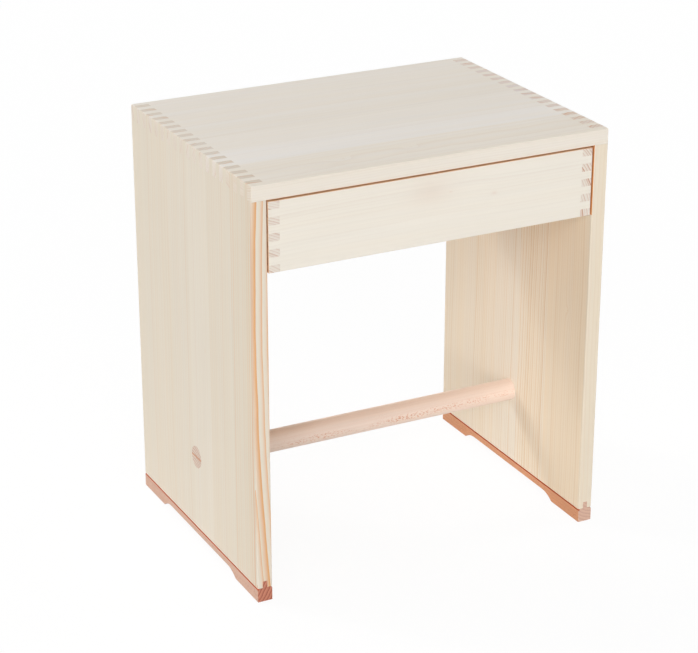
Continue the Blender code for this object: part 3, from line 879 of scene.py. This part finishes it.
screw_row = screw_row_tree()
bright_zinc = zinc("bright_zinc")
for side, outwards in (("left", -1), ("right", 1)):
    low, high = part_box(f"{side}_drawer_runner")
    runner = block(low, high)
    runner.name = f"{side}_runner"
    face = high.x if outwards < 0 else low.x
    edges_met = [(2, low.z), (2, high.z), (1, low.y), (1, high.y)]
    ease_arrises(runner, [((0, face), edge) for edge in edges_met], RUNNER_ARRIS)
    runner.data.materials.append(beech(
        f"{side}_runner_beech", "YZX", RUNNER_BEECH,
        heart=(RUNNER_HEART[0], RUNNER_HEART[1] * outwards), ring=RUNNER_RING,
    ))
    first = Vector((face + outwards * SCREW_SINK, low.y + SCREW_MARGIN, (low.z + high.z) / 2))
    step = Vector((0, (high.y - low.y - 2 * SCREW_MARGIN) / (SCREWS_PER_RUNNER - 1), 0))
    head_inwards = Matrix.Rotation(math.radians(-90 * outwards), 4, "Y")
    holes = []
    for number in range(SCREWS_PER_RUNNER):
        hole = turned(screw_profile(SCREW_PLAY, HEAD_OVERRUN))
        hole.data.transform(Matrix.Translation(first + number * step) @ head_inwards)
        holes.append(hole)
    combine(runner, "DIFFERENCE", *holes)
    sand(runner, BACKWARDS)
    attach(runner, "carcass")
    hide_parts(f"{side}_drawer_runner")

    screw = turned(screw_profile())
    recess_arms = []
    for length, width in ((RECESS_LENGTH, RECESS_WIDTH), (RECESS_WIDTH, RECESS_LENGTH)):
        corner = Vector((length / 2, width / 2, RECESS_DEPTH))
        recess_arms.append(block(-corner, corner))
    combine(screw, "DIFFERENCE", *recess_arms)
    screw.data.transform(head_inwards)
    screw_mesh = screw.data
    bpy.data.objects.remove(screw, do_unlink=True)
    screws = grow(f"{side}_runner_screws", screw_row, {
        "Count": SCREWS_PER_RUNNER, "First": first, "Step": step, "Plating": bright_zinc,
    }, screw_mesh)
    screws.data.shade_smooth()
    screws.data.set_sharp_from_angle(angle=CREASE)
    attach(screws, "carcass")
    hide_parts(*[f"{side}_runner_screw_{number + 1}" for number in range(SCREWS_PER_RUNNER)])

# Drawer box
# Four spruce boards joined at the corners with square fingers, the grain running round the box.
# Each side has a groove outside for its runner, and a groove inside all four holds the bottom.
DRAWER_FINGERS = 9
GROOVE_DEPTH = 0.006
GROOVE_LAND = 0.020
GROOVE_ABOVE = 0.0003
GROOVE_BELOW = 0.0007
BOTTOM_PLAY = 0.0002
DRAWER_ARRIS = 0.0009
RIM_SHADE_TINT = (255, 224, 182)  # painted shade: warms the boards' rims in the narrow gap round the drawer
DRAWER_STAVES = {
    "drawer_front": (Stave(1.0, 0.2900, -0.0500, 0.0026, 0.10, 1.00, 0.30),),
    "drawer_back": (Stave(1.0, 0.3100, 0.0600, 0.0025, 0.30, 0.99, 0.50),),
    "drawer_left_side": (Stave(1.0, 0.2620, -0.2320, 0.0027, 0.26, 1.00, 0.30),),
    "drawer_right_side": (Stave(1.0, 0.3350, 0.0700, 0.0027, 0.30, 1.00, 0.40),),
}
DRAWER_END_FIGURES = {
    "drawer_front": 0.8, "drawer_back": 0.8, "drawer_left_side": 0.8, "drawer_right_side": 1.5,
}
DRAWER_PIECES = {
    "drawer_front": "drawer_face", "drawer_back": "drawer_rear",
    "drawer_left_side": "drawer_left_wall", "drawer_right_side": "drawer_right_wall",
}
FRONT_KNOTS = (
    Knot(0.0167, 0.4010, 0.0018, 0.16), Knot(0.0661, 0.3920, 0.0022, 0.16),
    Knot(-0.006, 0.405, 0.018, 0.13),
)
bottom_low, bottom_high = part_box("drawer_bottom")
play = Vector((BOTTOM_PLAY,) * 3)
side_low, side_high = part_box("drawer_left_side")
runner_low, runner_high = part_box("left_drawer_runner")
for node, piece_name in DRAWER_PIECES.items():
    low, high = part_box(node)
    size = high - low
    is_side = node.endswith("side")
    grain = BACKWARDS if is_side else RIGHTWARDS
    wood = spruce(
        f"{piece_name}_spruce", "YZX" if is_side else "XZY", DRAWER_STAVES[node],
        pale=tint(242, 236, 225), warm=tint(243, 233, 216), summer=tint(204, 146, 112),
        end_tint=tint(246, 243, 243), end_figure=DRAWER_END_FIGURES[node], gap_shade_tint=tint(*RIM_SHADE_TINT),
        lean=(0.01, 0.01), knots=FRONT_KNOTS if node == "drawer_front" else (),
    )
    length, thickness = (size.y, size.x) if is_side else (size.x, size.y)
    board = grow(piece_name, finger_board, {
        "Length": length, "Width": size.z, "Thickness": thickness, "Finger Length": thickness,
        "Finger Places": DRAWER_FINGERS, "First Notch": 1 if is_side else 0, "Both Ends": True,
        "Saw Gap": SAW_GAP, "Wood": wood,
    })
    stand(board, grain, UP, (low + high) / 2)
    thin_axis = 0 if is_side else 1
    long_axis = 1 - thin_axis
    outer = max((low[thin_axis], high[thin_axis]), key=abs)
    inner = min((low[thin_axis], high[thin_axis]), key=abs)
    rims = [(2, low.z), (2, high.z)]
    board_ends = [(long_axis, low[long_axis]), (long_axis, high[long_axis])]
    outside = [((thin_axis, outer), edge) for edge in rims + board_ends]
    tips = [(end, rim) for end in board_ends for rim in rims]
    ease_arrises(board, outside + tips, DRAWER_ARRIS)
    ease_arrises(board, [((thin_axis, inner), rim) for rim in rims], SHARP_ARRIS)
    tools = [block(bottom_low - play, bottom_high + play)]
    for outwards in (-1, 1):
        wall = outwards * abs(side_low.x)
        left, right = sorted((wall - outwards * GROOVE_DEPTH, wall + outwards * OVERRUN))
        tools.append(block(
            (left, side_low.y + GROOVE_LAND, runner_low.z - GROOVE_BELOW),
            (right, side_high.y + OVERRUN, runner_high.z + GROOVE_ABOVE),
        ))
    combine(board, "DIFFERENCE", *tools)
    sand(board, grain)
    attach(board, "drawer")
    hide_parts(node)

# Drawer bottom
# A thin birch plywood panel that slides into the groove round the drawer box. Its veneer
# runs from side to side and its edges are broken so that it slips in.
BOTTOM_ARRIS = 0.0004
VENEER_LIGHT = (240, 215, 175)
VENEER_DARK = (216, 176, 128)
BACK_VENEER = (242, 205, 150)   # laid over both on the underside
VENEER_CONTOURS = 14            # bands of figure that the knife lays open
CONTOUR_SHARE = 0.5
VENEER_SWIRL = 0.6
VENEER_FIBRE_TONE = 0.1
VENEER_ROUGHNESS = 0.55
VENEER_FIBRE_ROUGHNESS = 0.2

# Waves in a metre along the grain, across it and through the panel
VENEER_FIGURE = (3, 14, 14)
VENEER_FIBRE = (12, 480, 480)


def plywood(name, middle):
    """Rotary-cut birch veneer: broad watery figure and fine pores, browner below its middle height."""
    material, paint = new_material(name)
    place = paint.node("ShaderNodeTexCoord", output="Object")
    noise = partial(wood_noise, paint, place, "XYZ", distortion=VENEER_SWIRL)
    contour = paint.math("FRACT", noise(VENEER_FIGURE) * VENEER_CONTOURS)
    fibre = noise(VENEER_FIBRE, detail=3)
    colour = paint.mix(contour * contour * CONTOUR_SHARE, tint(*VENEER_LIGHT), tint(*VENEER_DARK))
    height, = parts_of(paint, place, "Z")
    colour = paint.mix(1 - (height > middle), colour, tint(*BACK_VENEER), blend="MULTIPLY")
    colour = colour.scaled(1 + (fibre - 0.5) * VENEER_FIBRE_TONE)
    roughness = VENEER_ROUGHNESS + (fibre - 0.5) * VENEER_FIBRE_ROUGHNESS
    matt_finish(paint, colour, roughness, fibre, strength=0.15, depth=0.0002, shine=0.35)
    return material


bottom = block(bottom_low, bottom_high)
bottom.name = "drawer_floor"
sides_round = [(axis, corner[axis]) for axis in (0, 1) for corner in (bottom_low, bottom_high)]
faces = [(2, bottom_low.z), (2, bottom_high.z)]
ease_arrises(bottom, [(edge, face) for edge in sides_round for face in faces], BOTTOM_ARRIS)
bottom.data.materials.append(plywood("bottom_plywood", (bottom_low.z + bottom_high.z) / 2))
sand(bottom, RIGHTWARDS)
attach(bottom, "drawer")
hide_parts("drawer_bottom")

# Studio
# A white floor that runs out to a white background, with a little even light from all round.
# Broad soft lamps stand in front, on both sides, above and behind. A smaller one behind on the
# left sharpens the shadows that the drawer and the bar throw on the right panel.
FLOOR_HALF = 6.0
FLOOR_WHITE = (0.9, 0.9, 0.9, 1)
FLOOR_GLOW = 0.90           # share of the floor that reads as plain white to the camera
GLOW_STRENGTH = 1.03        # so that this share and the lit floor together read as white
AMBIENT = 0.20
LAMPS = (
    ("front_lamp", (-0.35, -0.85, 0.3), 1.28, 40),
    ("left_lamp", (-0.75, -0.6, 0.25), 0.60, 40),
    ("right_lamp", (1.0, -0.1, 0.1), 1.40, 40),
    ("top_lamp", (-0.1, 0.1, 1.0), 0.48, 50),
    ("back_lamp", (0.1, 1.0, 0.1), 0.90, 40),
    ("rear_lamp", (-0.8, 1.0, 0.7), 0.66, 30),
    ("small_rear_lamp", (-0.8, 1.0, 0.8), 0.30, 5),
)
LENS = 113.5                # in millimetres, as the sensor's width is
SENSOR_WIDTH = 36
CAMERA_PLACE = (-0.998, -1.907, 1.103)
CAMERA_YAW = math.radians(27.17)
CAMERA_PITCH = math.radians(22.59)


def seen_directly(paint):
    """1 for what the camera sees straight, in a reflection or through glass."""
    shares = [
        paint.node("ShaderNodeLightPath", output=f"Is {kind} Ray")
        for kind in ("Camera", "Glossy", "Transmission")
    ]
    return paint.math("MAXIMUM", paint.math("MAXIMUM", shares[0], shares[1]), shares[2])


shape = bmesh.new()
bmesh.ops.create_grid(shape, x_segments=1, y_segments=1, size=FLOOR_HALF)
floor = loose("floor", shape)
floor_white, paint = new_material("floor_white")
matt = paint.node("ShaderNodeBsdfDiffuse", sockets={"Color": FLOOR_WHITE})
glow = paint.node("ShaderNodeEmission", sockets={"Color": (1, 1, 1, 1), "Strength": GLOW_STRENGTH})
both = paint.node("ShaderNodeMixShader", sockets={
    0: seen_directly(paint) * FLOOR_GLOW, 1: matt, 2: glow,
})
paint.node("ShaderNodeOutputMaterial", sockets={"Surface": both})
floor.data.materials.append(floor_white)

world = bpy.data.worlds.new("studio")
bpy.context.scene.world = world
world.use_nodes = True
world.node_tree.nodes.clear()
paint = Wire(world.node_tree)
even = paint.node("ShaderNodeBackground", sockets={"Color": (1, 1, 1, 1), "Strength": AMBIENT})
white = paint.node("ShaderNodeBackground", sockets={"Color": (1, 1, 1, 1), "Strength": 1})
sky = paint.node("ShaderNodeMixShader", sockets={0: seen_directly(paint), 1: even, 2: white})
paint.node("ShaderNodeOutputWorld", sockets={"Surface": sky})

for name, towards, strength, spread in LAMPS:
    lamp = bpy.data.lights.new(name, "SUN")
    lamp.energy = strength
    lamp.angle = math.radians(spread)
    holder = bpy.data.objects.new(name, lamp)
    holder.rotation_euler = Vector(towards).to_track_quat("Z", "Y").to_euler()
    bpy.context.scene.collection.objects.link(holder)

camera = bpy.data.cameras.new("camera")
camera.lens = LENS
camera.sensor_width = SENSOR_WIDTH
viewpoint = bpy.data.objects.new("camera", camera)
viewpoint.location = CAMERA_PLACE
viewpoint.rotation_euler = (math.radians(90) - CAMERA_PITCH, 0, -CAMERA_YAW)
bpy.context.scene.collection.objects.link(viewpoint)
bpy.context.scene.camera = viewpoint
